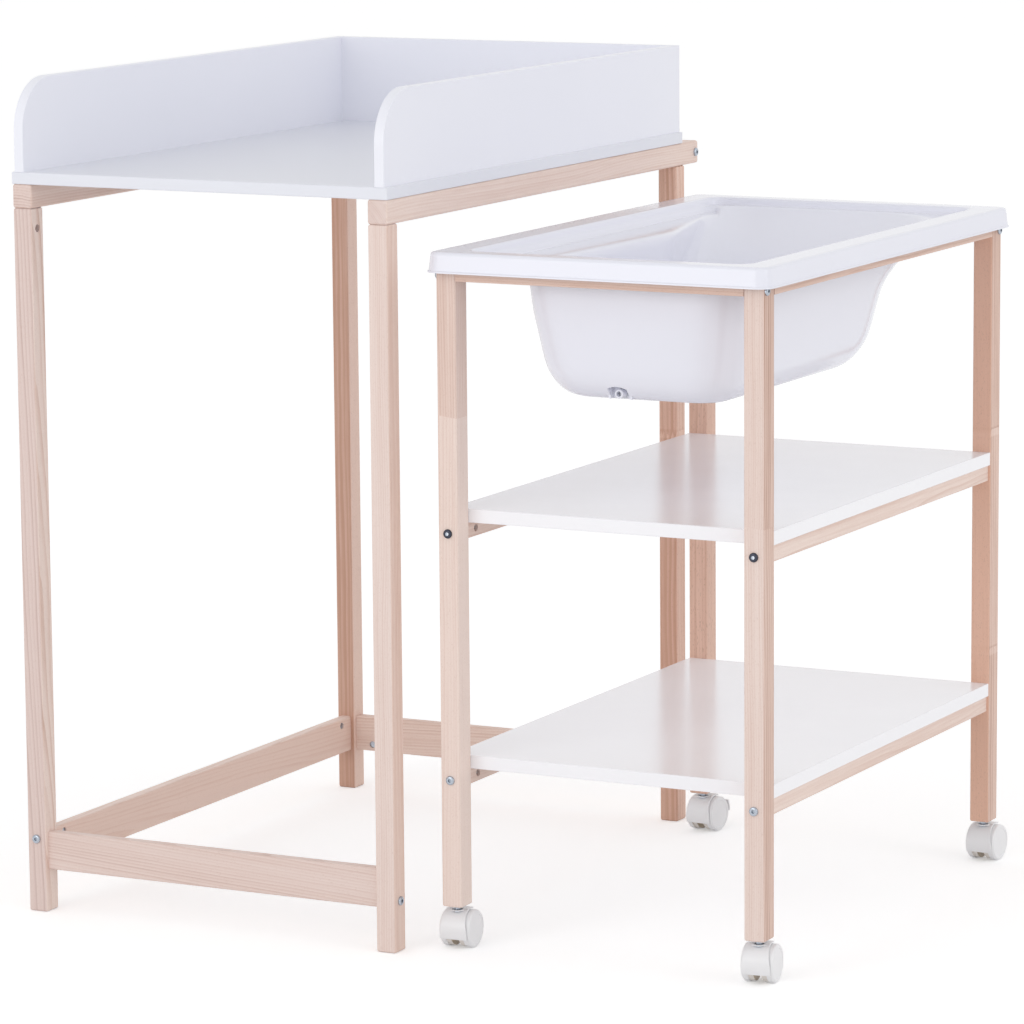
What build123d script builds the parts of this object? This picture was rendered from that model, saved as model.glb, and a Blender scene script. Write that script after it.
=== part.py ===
from build123d import *
import os
from math import cos, radians, sin, sqrt

os.makedirs("parts", exist_ok=True)

# A changing table with a rolling bath cart that parks under it.
# Lengths are in millimetres. The changing table stands at the left, the cart beside it on its right.
# X runs across the changing board, Y from its open front to its rear guard, Z up from the floor.

# Changing board: one white board, square edges with a slight break.
board_width = 564.0
board_depth = 880.0
board_thickness = 16.0
board_top = 1000.0
board_break = 0.8

# Guards: two sides with a big round front corner, and a rear one between them.
guard_height = 123.0
guard_thickness = 14.0
guard_inset = 4.5
guard_corner_radius = 70.0
guard_break = 0.8

# Table legs, the side rails that lie on top of them and the rail that ties these at the rear.
leg_width = 28.0
leg_depth = 30.0
leg_round = 3.0
leg_inset = 1.0
rail_width = 29.0
rail_height = 32.0
rail_inset = 0.5
rail_round = 3.5
rail_rear_overhang = 53.0
rear_leg_overhang = 9.0
cross_rail_thickness = 20.0

# Lower stretchers of the table. The right side has none, because the cart rolls in there.
stretcher_height = 52.0
stretcher_thickness = 16.0
stretcher_bottom = 58.0
stretcher_round = 2.5

# Furniture bolts with domed hex socket heads, and their barrel nuts.
bolt_diameter = 6.0
bolt_hole_clearance = 0.4
bolt_head_diameter = 12.0
bolt_head_height = 3.2
bolt_crown_diameter = 7.0
bolt_head_edge = 1.2
bolt_socket_across = 4.0
bolt_socket_depth = 2.0
bolt_tail = 3.0
counterbore_clearance = 1.0
counterbore_depth = 6.0
nut_diameter = 10.0
nut_length = 12.0
nut_hole_clearance = 0.3
nut_end_gap = 0.2
nut_from_joint = 27.0

# Bolts in the stretchers: crosswise ones low, lengthwise ones high.
stretcher_bolt_inset = 10.0

# Beech dowels that stop the bolted joints from turning.
dowel_diameter = 8.0
dowel_in_leg = 11.0
dowel_in_rail = 18.0
dowel_clearance = 0.1
stretcher_dowel_offset = 4.0

# Countersunk wood screws.
screw_diameter = 4.0
screw_head_diameter = 8.0
screw_head_height = 2.6
screw_bite = 11.0
rail_screw_sink = 14.0
guard_screw_bite = 30.0
screw_end_inset = 120.0
guard_screw_inset = 180.0

# Bath cart frame. Its legs are deeper than wide, with a caster under each.
cart_from_board = 42.5
cart_width = 460.0
cart_length = 790.0
cart_leg_width = 28.0
cart_leg_depth = 32.0
cart_leg_round = 2.5
cart_leg_bottom = 57.5
cart_top = 912.0
cart_rail_height = 34.0
cart_rail_thickness = 16.0
cart_rail_round = 2.0
cart_cross_bolt_inset = 7.5
cart_long_bolt_inset = 10.0

# Shelves and the rails that carry them along both sides.
shelf_thickness = 18.0
shelf_inset = 1.0
shelf_break = 0.6
upper_shelf_top = 580.0
lower_shelf_top = 255.5
shelf_rail_height = 22.0
shelf_rail_thickness = 20.0
shelf_rail_round = 1.5

# Bathtub: a thin moulding with a raised rim, a turned-down skirt, a sunk ledge and a basin.
tub_wall = 3.0
tub_rise = 4.0
tub_overhang_side = 7.5
tub_overhang_end = 11.0
tub_skirt_drop = 26.5
tub_skirt_flare = 3.0
tub_lip = 1.5
tub_lip_height = 2.5
tub_corner_radius = 16.0
tub_rim_outer_round = 4.5
tub_rim_inner_round = 5.0
tub_rim_width_side = 40.5
tub_rim_width_end = 31.5
tub_ledge_depth = 10.0
tub_ledge_corner_radius = 22.0
tub_ledge_draft = 3.0

# Soap tray: the ledge lies deeper along the basin's left side.
tray_depth = 8.0
tray_length = 746.0
tray_width = 131.5
tray_corner_radius = 20.0
tray_slope = 6.0

# Basin: its walls are nearly upright. Its left wall narrows to a waist and widens again at a neck.
basin_depth = 188.0
basin_waist_radius = 170.0

# Basin at its mouth, from the tub's left and front edges.
mouth_left = 98.0
mouth_waist_left = 119.5
mouth_neck_left = 67.5
mouth_right = 412.5
mouth_front = 46.0
mouth_waist = 491.0
mouth_neck = 701.0
mouth_rear = 777.0
mouth_front_radius = 58.0
mouth_rear_left_radius = 46.0
mouth_rear_right_radius = 95.0
mouth_round = 4.0
mouth_round_steps = 3

# Basin at its knee, above which the rear wall reclines, from the same edges.
knee_rise = 110.0
knee_left = 104.0
knee_waist_left = 125.0
knee_neck_left = 100.0
knee_right = 404.0
knee_front = 51.0
knee_waist = 450.0
knee_neck = 545.0
knee_rear = 645.0
knee_front_radius = 58.0
knee_rear_left_radius = 60.0
knee_rear_right_radius = 145.0

# Basin at its toe, below which the walls bend in to the floor.
toe_rise = 32.0
toe_left = 120.0
toe_waist_left = 137.0
toe_neck_left = 118.0
toe_right = 393.0
toe_front = 60.0
toe_waist = 430.0
toe_neck = 525.0
toe_rear = 614.0
toe_front_radius = 56.0
toe_rear_left_radius = 60.0
toe_rear_right_radius = 140.0

# Basin at its floor.
foot_left = 136.0
foot_waist_left = 152.0
foot_neck_left = 136.0
foot_right = 378.0
foot_front = 76.0
foot_waist = 412.0
foot_neck = 475.0
foot_rear = 565.0
foot_front_radius = 50.0
foot_rear_left_radius = 60.0
foot_rear_right_radius = 110.0
foot_round = 18.0
foot_round_steps = 4

# Drain: an arched pocket low in the front wall, with a hose spigot, its seal and a plug inside.
drain_left = 236.0
drain_rise = 8.5
pocket_width = 23.0
pocket_depth = 12.0
pocket_shoulder_rise = 4.5
pocket_crown_rise = 10.5
drain_bore = 7.0
spigot_diameter = 12.0
spigot_tail_diameter = 9.0
spigot_projection = 12.0
spigot_edge = 1.0
seal_diameter = 14.0
seal_thickness = 1.5
plug_head_diameter = 9.0
plug_head_height = 2.5
plug_stem_length = 9.0
plug_clearance = 0.06
plug_tab_width = 6.0
plug_tab_thickness = 2.0
plug_tab_length = 6.0

# Twin-wheel casters: a full disc on the outside of each wheel, a slightly smaller core inside.
wheel_diameter = 50.0
wheel_width = 16.0
wheel_disc_width = 9.0
wheel_core_step = 1.0
wheel_round = 2.0
wheel_spacing = 11.0
wheel_dish_diameter = 38.0
wheel_dish_depth = 0.6
wheel_bore_depth = 12.5
axle_diameter = 6.0
axle_clearance = 0.05
axle_end_gap = 0.2
caster_trail = 12.0

# Caster hood: a shell over the front and top of both wheels, and a web between them.
hood_gap = 1.0
hood_wall = 2.2
hood_width = 38.0
hood_top_width = 27.0
hood_web = 10.0
hood_skirt_height = 14.0
hood_rear_reach = 8.0
hood_web_reach = 18.0
boss_diameter = 19.0
boss_recess_diameter = 14.0
boss_recess_depth = 2.5
boss_drop = 5.5

# Swivel stem: a pin in the hood, a collar in its recess, and a friction pin in the leg's socket.
stem_diameter = 7.0
stem_clearance = 0.05
stem_length = 22.0
collar_diameter = 12.5
collar_height = 1.5
stem_neck_diameter = 8.5
socket_diameter = 11.0
socket_bore = 9.0
socket_length = 36.0
socket_pin_length = 30.0
socket_flange_diameter = 16.0
socket_flange_height = 1.5

# Brake pedal behind the rear left caster, pivoted in a slot of the hood's web.
pivot_behind_axle = 12.5
pivot_above_axle = 13.6
pivot_diameter = 3.0
pivot_clearance = 0.05
pedal_eye_diameter = 8.0
pedal_tongue = 4.0
pedal_gap = 0.3
pedal_width = 38.0
pedal_thickness = 2.4
pedal_radius = 29.5
pedal_round = 1.0
pedal_low_angle = -2.0
pedal_high_angle = 30.0
tongue_shares = (0.25, 0.75)

# Angles at which the casters stand turned about their stems, in degrees.
caster_angles = {"front_left": 3.0, "front_right": 7.0, "rear_left": -6.0, "rear_right": -3.0}

# One overrun for every cut that has to pass clean through.
overrun = 1.0


# Places worked out from the sizes above.
half_board = board_width / 2
board_bottom = board_top - board_thickness
rail_outer = half_board - rail_inset
rail_bottom = board_bottom - rail_height
rail_rear = board_depth + rail_rear_overhang
leg_outer = half_board - leg_inset
leg_inner = leg_outer - leg_width
leg_mid_x = (leg_outer + leg_inner) / 2
rear_leg_back = board_depth + rear_leg_overhang
rear_leg_front = rear_leg_back - leg_depth
front_leg_mid_y = leg_depth / 2
rear_leg_mid_y = rear_leg_back - leg_depth / 2
stretcher_top = stretcher_bottom + stretcher_height
cart_left = half_board + cart_from_board
cart_right = cart_left + cart_width
cart_front = (leg_depth + rear_leg_front - cart_length) / 2
cart_rear = cart_front + cart_length
tub_left = cart_left - tub_overhang_side
tub_right = cart_right + tub_overhang_side
tub_front = cart_front - tub_overhang_end
tub_rear = cart_rear + tub_overhang_end
tub_top = cart_top + tub_rise
skirt_bottom = tub_top - tub_skirt_drop
ledge_z = tub_top - tub_ledge_depth
tray_z = ledge_z - tray_depth
basin_bottom = tub_top - basin_depth
drain_x = tub_left + drain_left
drain_z = basin_bottom + drain_rise
drain_back = tub_front + foot_front + pocket_depth
wheel_radius = wheel_diameter / 2
hood_inner_radius = wheel_radius + hood_gap
hood_outer_radius = hood_inner_radius + hood_wall
boss_top = cart_leg_bottom - boss_drop
stem_seat = boss_top - boss_recess_depth

# The part's origin is at the middle of its box, on the floor.
box_left = -rail_outer - bolt_head_height
box_right = tub_right + tub_skirt_flare + tub_lip
box_front = -bolt_head_height
box_rear = rail_rear
origin_shift = Pos(-(box_left + box_right) / 2, -(box_front + box_rear) / 2, 0)


# Small helpers shared by the pieces.
def box_between(x_range, y_range, z_range):
    size = [high - low for low, high in (x_range, y_range, z_range)]
    middle = [(high + low) / 2 for low, high in (x_range, y_range, z_range)]
    return Pos(*middle) * Box(*size)


def bar(x_range, y_range, z_range, along, rounding):
    """A planed wooden bar with square ends, whose long edges are rounded."""
    solid = box_between(x_range, y_range, z_range)
    return fillet(solid.edges().filter_by(along), rounding)


def round_ended_bar(x_range, y_range, z_range, rounding):
    """A planed wooden bar whose long edges and ends are all rounded."""
    solid = box_between(x_range, y_range, z_range)
    return fillet(solid.edges(), rounding)


def board(x_range, y_range, z_range, edge_break):
    """A coated board with every edge slightly broken."""
    solid = box_between(x_range, y_range, z_range)
    return chamfer(solid.edges(), edge_break)


def rod(start, direction, diameter, length):
    """A round rod or hole from a start point along a direction."""
    base = (Align.CENTER, Align.CENTER, Align.MIN)
    return Plane(origin=start, z_dir=direction).location * Cylinder(diameter / 2, length, align=base)


def drilled(piece, tools):
    """The piece less every tool whose box meets its own."""
    room = piece.bounding_box()
    near = [tool for tool in tools if room.overlaps(tool.bounding_box())]
    return piece - near if near else piece


def save(node, *shapes):
    """Writes one node: a single solid, or a group of separate ones."""
    solids = [origin_shift * solid for shape in shapes for solid in shape.solids()]
    whole = solids[0] if len(solids) == 1 else Compound(children=solids)
    export_step(whole, "parts/" + node + ".step")


# Fasteners.
def bolt(seat, direction, length):
    """A bolt whose head sits on the seat point, with its shank along the direction."""
    head_radius = bolt_head_diameter / 2
    profile = Polyline(
        (0, -bolt_head_height),
        (bolt_crown_diameter / 2, -bolt_head_height),
        (head_radius, -bolt_head_edge),
        (head_radius, 0),
        (bolt_diameter / 2, 0),
        (bolt_diameter / 2, length),
        (0, length),
        close=True,
    )
    body = revolve(make_face(Plane.XZ * profile), Axis.Z)
    hexagon = RegularPolygon(bolt_socket_across / 2, 6, major_radius=False)
    socket = Pos(0, 0, -bolt_head_height) * extrude(hexagon, bolt_socket_depth)
    return Plane(origin=seat, z_dir=direction).location * (body - socket)


def barrel_nut(centre, across, bolt_direction):
    """A barrel nut lying across the bolt, with the bolt's bore through its middle."""
    body = rod(centre - across * (nut_length / 2), across, nut_diameter, nut_length)
    start = centre - bolt_direction * nut_diameter
    return body - rod(start, bolt_direction, bolt_diameter, nut_diameter * 2)


class BoltedJoint:
    """A bolt, its barrel nut and the holes for both.

    The head bears on the seat and the shank passes first through the clamped piece. The nut sits
    beyond the joint face, in a blind hole that is open on the side that across points to.
    """

    def __init__(self, seat, direction, clamped, across, thickness):
        seat, direction, across = Vector(seat), Vector(direction), Vector(across)
        depth = clamped + nut_from_joint
        length = depth + nut_diameter / 2 + bolt_tail
        centre = seat + direction * depth
        self.bolt = bolt(seat, direction, length)
        self.nut = barrel_nut(centre, across, direction)
        hole = bolt_diameter + bolt_hole_clearance
        wide = bolt_head_diameter + counterbore_clearance
        behind = nut_length / 2 + nut_end_gap
        pocket_length = behind + thickness / 2 + overrun
        self.holes = [
            rod(seat, direction, hole, length),
            rod(seat, -direction, wide, counterbore_depth + overrun),
            rod(centre - across * behind, across, nut_diameter + nut_hole_clearance, pocket_length),
        ]


class Dowel:
    """A dowel that enters the leg on one side of the joint face and the rail on the other."""

    def __init__(self, joint_point, direction):
        direction = Vector(direction)
        start = Vector(joint_point) - direction * dowel_in_leg
        length = dowel_in_leg + dowel_in_rail
        self.pin = rod(start, direction, dowel_diameter, length)
        hole_start = start - direction * dowel_clearance
        hole = dowel_diameter + dowel_clearance
        self.holes = [rod(hole_start, direction, hole, length + dowel_clearance * 2)]


def screw(place, sink, length):
    """A countersunk wood screw driven upwards. The same shape is the hole that it makes."""
    profile = Polyline(
        (0, 0),
        (screw_head_diameter / 2, 0),
        (screw_diameter / 2, screw_head_height),
        (screw_diameter / 2, length),
        (0, length),
        close=True,
    )
    return Pos(*place) * Pos(0, 0, sink) * revolve(make_face(Plane.XZ * profile), Axis.Z)


# Table.
def table_joints():
    joints = []
    dowels = []
    low = stretcher_bottom + stretcher_bolt_inset
    high = stretcher_top - stretcher_bolt_inset
    middle = (stretcher_bottom + stretcher_top) / 2
    top_seat = board_bottom - counterbore_depth
    for side in (-1, 1):
        inward = (-side, 0, 0)
        for y, facing in ((front_leg_mid_y, 1), (rear_leg_mid_y, -1)):
            seat = (side * leg_outer, y, low)
            joints.append(BoltedJoint(seat, inward, leg_width, (0, facing, 0), stretcher_thickness))
            dowels.append(Dowel((side * leg_inner, y, middle + stretcher_dowel_offset), inward))
            seat = (side * leg_mid_x, y, top_seat)
            joints.append(BoltedJoint(seat, (0, 0, -1), top_seat - rail_bottom, inward, leg_width))
        seat = (side * rail_outer, rail_rear - cross_rail_thickness / 2, board_bottom - rail_height / 2)
        joints.append(BoltedJoint(seat, inward, rail_width, (0, 0, -1), rail_height))
    for y, face, way in ((0, leg_depth, 1), (rear_leg_back, rear_leg_front, -1)):
        joints.append(BoltedJoint((-leg_mid_x, y, high), (0, way, 0), leg_depth, (1, 0, 0), stretcher_thickness))
        dowels.append(Dowel((-leg_mid_x, face, middle - stretcher_dowel_offset), (0, way, 0)))
    return joints, dowels


def board_screw_places():
    """Under the side rails, between the legs."""
    middle = rail_outer - rail_width / 2
    along = (screw_end_inset, board_depth / 2, board_depth - screw_end_inset)
    return [(side * middle, y, rail_bottom) for side in (-1, 1) for y in along]


def guard_screw_places():
    """Under the board, two for each side guard beside its rail and three for the rear guard."""
    side_x = half_board - guard_inset - guard_thickness / 2
    rear_y = board_depth - guard_thickness / 2
    along = (guard_screw_inset, board_depth - guard_screw_inset)
    places = [(side * side_x, y, board_bottom) for side in (-1, 1) for y in along]
    return places + [(side * (half_board - screw_end_inset), rear_y, board_bottom) for side in (-1, 0, 1)]


def side_guard(side):
    """A side guard with its big round front corner."""
    outer = side * (half_board - guard_inset)
    inner = outer - side * guard_thickness
    x_range = (min(outer, inner), max(outer, inner))
    solid = box_between(x_range, (0, board_depth), (board_top, board_top + guard_height))
    corner = solid.edges().filter_by(Axis.X).group_by(Axis.Z)[-1].sort_by(Axis.Y)[0]
    solid = fillet(corner, guard_corner_radius)
    faces = solid.faces().filter_by(Axis.X)
    rim = faces.edges().filter_by(lambda edge: edge.center().Z > board_top + guard_break)
    return chamfer(rim, guard_break)


def rear_guard():
    inner = half_board - guard_inset - guard_thickness
    y_range = (board_depth - guard_thickness, board_depth)
    solid = box_between((-inner, inner), y_range, (board_top, board_top + guard_height))
    top = solid.edges().filter_by(Axis.X).group_by(Axis.Z)[-1]
    return chamfer(top, guard_break)


def side_rail(side):
    outer = side * rail_outer
    inner = outer - side * rail_width
    x_range = (min(outer, inner), max(outer, inner))
    return round_ended_bar(x_range, (0, rail_rear), (rail_bottom, board_bottom), rail_round)


def cross_rail():
    inner = rail_outer - rail_width
    y_range = (rail_rear - cross_rail_thickness, rail_rear)
    return bar((-inner, inner), y_range, (rail_bottom, board_bottom), Axis.X, rail_round)


def table_leg(side, front):
    x_range = (leg_inner, leg_outer) if side > 0 else (-leg_outer, -leg_inner)
    return round_ended_bar(x_range, (front, front + leg_depth), (0, rail_bottom), leg_round)


def cross_stretcher(middle):
    half = stretcher_thickness / 2
    y_range = (middle - half, middle + half)
    return bar((-leg_inner, leg_inner), y_range, (stretcher_bottom, stretcher_top), Axis.X, stretcher_round)


def left_stretcher():
    half = stretcher_thickness / 2
    x_range = (-leg_mid_x - half, -leg_mid_x + half)
    y_range = (leg_depth, rear_leg_front)
    return bar(x_range, y_range, (stretcher_bottom, stretcher_top), Axis.Y, stretcher_round)


def save_table():
    joints, dowels = table_joints()
    holes = [hole for item in joints + dowels for hole in item.holes]
    length = rail_height - rail_screw_sink + screw_bite
    board_screws = [screw(place, rail_screw_sink, length) for place in board_screw_places()]
    for place in board_screw_places():
        below = Vector(place) - Vector(0, 0, overrun)
        holes.append(rod(below, (0, 0, 1), screw_head_diameter, rail_screw_sink + overrun))
    guard_screws = [screw(place, 0, board_thickness + guard_screw_bite) for place in guard_screw_places()]
    holes += board_screws + guard_screws

    top = board((-half_board, half_board), (0, board_depth), (board_bottom, board_top), board_break)
    save("changing_top", drilled(top, holes))
    for name, side in (("left", -1), ("right", 1)):
        save("guard_" + name, drilled(side_guard(side), holes))
        save("table_rail_" + name, drilled(side_rail(side), holes))
        for end, front in (("front", 0), ("rear", rear_leg_front)):
            save("table_leg_" + end + "_" + name, drilled(table_leg(side, front), holes))
    save("guard_rear", drilled(rear_guard(), holes))
    save("table_rail_rear", drilled(cross_rail(), holes))
    save("table_stretcher_front", drilled(cross_stretcher(front_leg_mid_y), holes))
    save("table_stretcher_rear", drilled(cross_stretcher(rear_leg_mid_y), holes))
    save("table_stretcher_left", drilled(left_stretcher(), holes))
    save("table_bolts", *[joint.bolt for joint in joints])
    save("table_barrel_nuts", *[joint.nut for joint in joints])
    save("table_dowels", *[dowel.pin for dowel in dowels])
    save("board_screws", *board_screws)
    save("guard_screws", *guard_screws)


# Cart frame.
cart_leg_mid = cart_leg_width / 2
cross_bolt_z = cart_top - cart_rail_height + cart_cross_bolt_inset
long_bolt_z = cart_top - cart_long_bolt_inset
shelf_front = cart_front + cart_leg_depth
shelf_rear = cart_rear - cart_leg_depth


def cart_joints():
    joints = []
    dowels = []
    rail_mid = cart_rail_thickness / 2
    for x, side in ((cart_left, 1), (cart_right, -1)):
        for y, way in ((cart_front, 1), (cart_rear, -1)):
            inward, along = (side, 0, 0), (0, way, 0)
            rail_x, rail_y = x + side * rail_mid, y + way * rail_mid
            seat = (x, rail_y, cross_bolt_z)
            joints.append(BoltedJoint(seat, inward, cart_leg_width, along, cart_rail_thickness))
            dowels.append(Dowel((x + side * cart_leg_width, rail_y, long_bolt_z), inward))
            seat = (rail_x, y, long_bolt_z)
            joints.append(BoltedJoint(seat, along, cart_leg_depth, inward, cart_rail_thickness))
            dowels.append(Dowel((rail_x, y + way * cart_leg_depth, cross_bolt_z), along))
            for shelf_top in (upper_shelf_top, lower_shelf_top):
                middle = shelf_top - shelf_thickness - shelf_rail_height / 2
                seat = (x + side * cart_leg_mid, y, middle)
                joints.append(BoltedJoint(seat, along, cart_leg_depth, inward, shelf_rail_thickness))
    return joints, dowels


def shelf_screw_places():
    """Under the shelf rails, two for each."""
    across = (cart_left + cart_leg_mid, cart_right - cart_leg_mid)
    along = (cart_front + screw_end_inset, cart_rear - screw_end_inset)
    heights = [top - shelf_thickness - shelf_rail_height for top in (upper_shelf_top, lower_shelf_top)]
    return [(x, y, z) for x in across for y in along for z in heights]


def save_shelf(level, shelf_top, holes):
    y_range = (shelf_front, shelf_rear)
    x_range = (cart_left + shelf_inset, cart_right - shelf_inset)
    below = shelf_top - shelf_thickness
    shelf = board(x_range, y_range, (below, shelf_top), shelf_break)
    save(level + "_shelf", drilled(shelf, holes))
    half = shelf_rail_thickness / 2
    z_range = (below - shelf_rail_height, below)
    for name, middle in (("left", cart_left + cart_leg_mid), ("right", cart_right - cart_leg_mid)):
        rail = bar((middle - half, middle + half), y_range, z_range, Axis.Y, shelf_rail_round)
        save(level + "_shelf_rail_" + name, drilled(rail, holes))


def save_cart():
    joints, dowels = cart_joints()
    screws = [screw(place, 0, shelf_rail_height + screw_bite) for place in shelf_screw_places()]
    sockets = [socket_hole(place) for place in caster_places().values()]
    holes = [hole for item in joints + dowels for hole in item.holes] + screws + sockets

    leg_z = (cart_leg_bottom, cart_top)
    rail_z = (cart_top - cart_rail_height, cart_top)
    for name, x in (("left", cart_left), ("right", cart_right - cart_leg_width)):
        for end, y in (("front", cart_front), ("rear", cart_rear - cart_leg_depth)):
            leg = round_ended_bar((x, x + cart_leg_width), (y, y + cart_leg_depth), leg_z, cart_leg_round)
            save("cart_leg_" + end + "_" + name, drilled(leg, holes))
    for name, x in (("left", cart_left), ("right", cart_right - cart_rail_thickness)):
        x_range = (x, x + cart_rail_thickness)
        rail = bar(x_range, (shelf_front, shelf_rear), rail_z, Axis.Y, cart_rail_round)
        save("cart_rail_" + name, drilled(rail, holes))
    x_range = (cart_left + cart_leg_width, cart_right - cart_leg_width)
    for name, y in (("front", cart_front), ("rear", cart_rear - cart_rail_thickness)):
        rail = bar(x_range, (y, y + cart_rail_thickness), rail_z, Axis.X, cart_rail_round)
        save("cart_rail_" + name, drilled(rail, holes))
    save_shelf("upper", upper_shelf_top, holes)
    save_shelf("lower", lower_shelf_top, holes)
    save("cart_bolts", *[joint.bolt for joint in joints])
    save("cart_barrel_nuts", *[joint.nut for joint in joints])
    save("cart_dowels", *[dowel.pin for dowel in dowels])
    save("shelf_screws", *screws)


# Bathtub.
def plate(x_range, y_range, radius, z):
    """A flat rectangle with round corners at a height."""
    middle = [(high + low) / 2 for low, high in (x_range, y_range)]
    size = [high - low for low, high in (x_range, y_range)]
    return Pos(*middle, z) * RectangleRounded(*size, radius)


def tub_plate(inset_side, inset_end, radius, z):
    """The tub's outline at a height, drawn in from its widest straight sides."""
    x_range = (tub_left + inset_side, tub_right - inset_side)
    y_range = (tub_front + inset_end, tub_rear - inset_end)
    return plate(x_range, y_range, radius, z)


class BasinOutline:
    """The basin's outline at one height, from the tub's left and front edges."""

    def __init__(self, sides, bends, radii):
        self.sides, self.bends, self.radii = sides, bends, radii

    def mixed(self, other, share):
        """The outline at a share of the way to another."""
        pairs = ((self.sides, other.sides), (self.bends, other.bends), (self.radii, other.radii))
        return BasinOutline(*[[a + (b - a) * share for a, b in zip(*pair)] for pair in pairs])

    def face(self, grow, z):
        """The outline as a face at a height, grown outwards all round."""
        left, right, front, rear = self.sides
        waist_left, waist, neck_left, neck = self.bends
        front_radius, rear_left_radius, rear_right_radius = self.radii
        corners = [
            (left - grow, front - grow),
            (waist_left - grow, waist),
            (neck_left - grow, neck),
            (neck_left - grow, rear + grow),
            (right + grow, rear + grow),
            (right + grow, front - grow),
        ]
        radii = [
            front_radius + grow,
            basin_waist_radius - grow,
            basin_waist_radius + grow,
            rear_left_radius + grow,
            rear_right_radius + grow,
            front_radius + grow,
        ]
        return Pos(tub_left, tub_front, z) * make_face(FilletPolyline(*corners, radius=radii, close=True))


mouth = BasinOutline(
    (mouth_left, mouth_right, mouth_front, mouth_rear),
    (mouth_waist_left, mouth_waist, mouth_neck_left, mouth_neck),
    (mouth_front_radius, mouth_rear_left_radius, mouth_rear_right_radius),
)
knee = BasinOutline(
    (knee_left, knee_right, knee_front, knee_rear),
    (knee_waist_left, knee_waist, knee_neck_left, knee_neck),
    (knee_front_radius, knee_rear_left_radius, knee_rear_right_radius),
)
toe = BasinOutline(
    (toe_left, toe_right, toe_front, toe_rear),
    (toe_waist_left, toe_waist, toe_neck_left, toe_neck),
    (toe_front_radius, toe_rear_left_radius, toe_rear_right_radius),
)
foot = BasinOutline(
    (foot_left, foot_right, foot_front, foot_rear),
    (foot_waist_left, foot_waist, foot_neck_left, foot_neck),
    (foot_front_radius, foot_rear_left_radius, foot_rear_right_radius),
)


def basin_block(grow, floor, top):
    """The basin's mass, with a rounded foot and mouth: its inside, or grown by the wall its outside."""
    lift = (floor - basin_bottom) / 2
    toe_z = basin_bottom + toe_rise + lift
    sections = []
    for step in range(foot_round_steps + 1):
        share = step / foot_round_steps
        outline = foot.mixed(toe, share**2)
        sections.append(outline.face(grow - foot_round * (1 - share) ** 2, floor + (toe_z - floor) * share**2))
    sections.append(knee.face(grow, basin_bottom + knee_rise + lift))
    for step in range(mouth_round_steps + 1):
        angle = radians(90 * step / mouth_round_steps)
        out, up = mouth_round * (1 - cos(angle)), mouth_round * sin(angle)
        sections.append(mouth.face(grow + out, ledge_z - mouth_round + up))
    if top > ledge_z:
        sections.append(mouth.face(grow + mouth_round, top))
    return loft(sections, ruled=True)


def tray_block(grow, floor, top):
    """The soap tray's mass, with sloping ends: its inside, or grown by the wall its outside."""
    inset = tub_ledge_draft + tray_slope
    low_side, low_end = tub_rim_width_side - grow, tub_rim_width_end - grow
    sections = []
    for slope, z in ((inset, floor), (tub_ledge_draft, top)):
        x_range = (tub_left + low_side + slope, tub_left + tray_width + tray_slope - slope + grow)
        y_range = (tub_front + low_end + slope, tub_front + tray_length + tray_slope - slope + grow)
        sections.append(plate(x_range, y_range, tray_corner_radius + grow, z))
    return loft(sections, ruled=True)


def rim():
    """The rim with its turned-down skirt and outward lip, still filled inside, and the ledge's recess."""
    flare, corner = tub_skirt_flare, tub_corner_radius
    skirt = [tub_plate(-flare, -flare, corner + flare, skirt_bottom), tub_plate(0, 0, corner, tub_top)]
    block = loft(skirt, ruled=True)
    block = fillet(block.faces().sort_by(Axis.Z)[-1].edges(), tub_rim_outer_round)
    reach = flare + tub_lip
    block += extrude(tub_plate(-reach, -reach, corner + reach, skirt_bottom), tub_lip_height)
    side, end, draft, bend = tub_rim_width_side, tub_rim_width_end, tub_ledge_draft, tub_ledge_corner_radius
    recess = loft(
        [tub_plate(side + draft, end + draft, bend - draft, ledge_z), tub_plate(side, end, bend, tub_top)],
        ruled=True,
    )
    block -= recess
    mouth = block.edges().filter_by(lambda edge: abs(edge.center().Z - tub_top) < tub_ledge_draft / 2)
    inner = mouth.filter_by(lambda edge: edge.center().X > tub_left + side - overrun)
    inner = inner.filter_by(lambda edge: edge.center().X < tub_right - side + overrun)
    inner = inner.filter_by(lambda edge: edge.center().Y > tub_front + end - overrun)
    inner = inner.filter_by(lambda edge: edge.center().Y < tub_rear - end + overrun)
    return fillet(inner, tub_rim_inner_round)


def under_rim():
    """The hollow between skirt and pan, whose flat ceiling rests on the cart's legs and rails."""
    flare, corner, wall = tub_skirt_flare, tub_corner_radius, tub_wall
    inset = wall - flare
    sections = [
        tub_plate(inset, inset, corner - inset, skirt_bottom - overrun),
        tub_plate(wall, wall, corner - wall, cart_top),
    ]
    side, end = tub_rim_width_side - wall, tub_rim_width_end - wall
    pan = tub_plate(side, end, tub_ledge_corner_radius + wall, ledge_z - wall)
    return loft(sections, ruled=True) - extrude(pan, tub_top - ledge_z)


def arch(width, low, shoulder, crown):
    """An upright arch in X and Z at the drain, from a low line up to its shoulders and crown."""
    half = width / 2
    sides = Polyline((-half, shoulder), (-half, low), (half, low), (half, shoulder))
    bow = ThreePointArc((half, shoulder), (0, crown), (-half, shoulder))
    return make_face(Plane.XZ * (sides + bow))


def drain_pocket(wall, low, depth, back):
    """The drain's arched pocket, or with a wall the boss that backs it inside the basin."""
    shoulder, crown = drain_z + pocket_shoulder_rise, drain_z + pocket_crown_rise
    face = arch(pocket_width + wall * 2, low, shoulder + wall / 2, crown + wall)
    return Pos(drain_x, back - depth, 0) * extrude(face, -depth)


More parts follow.
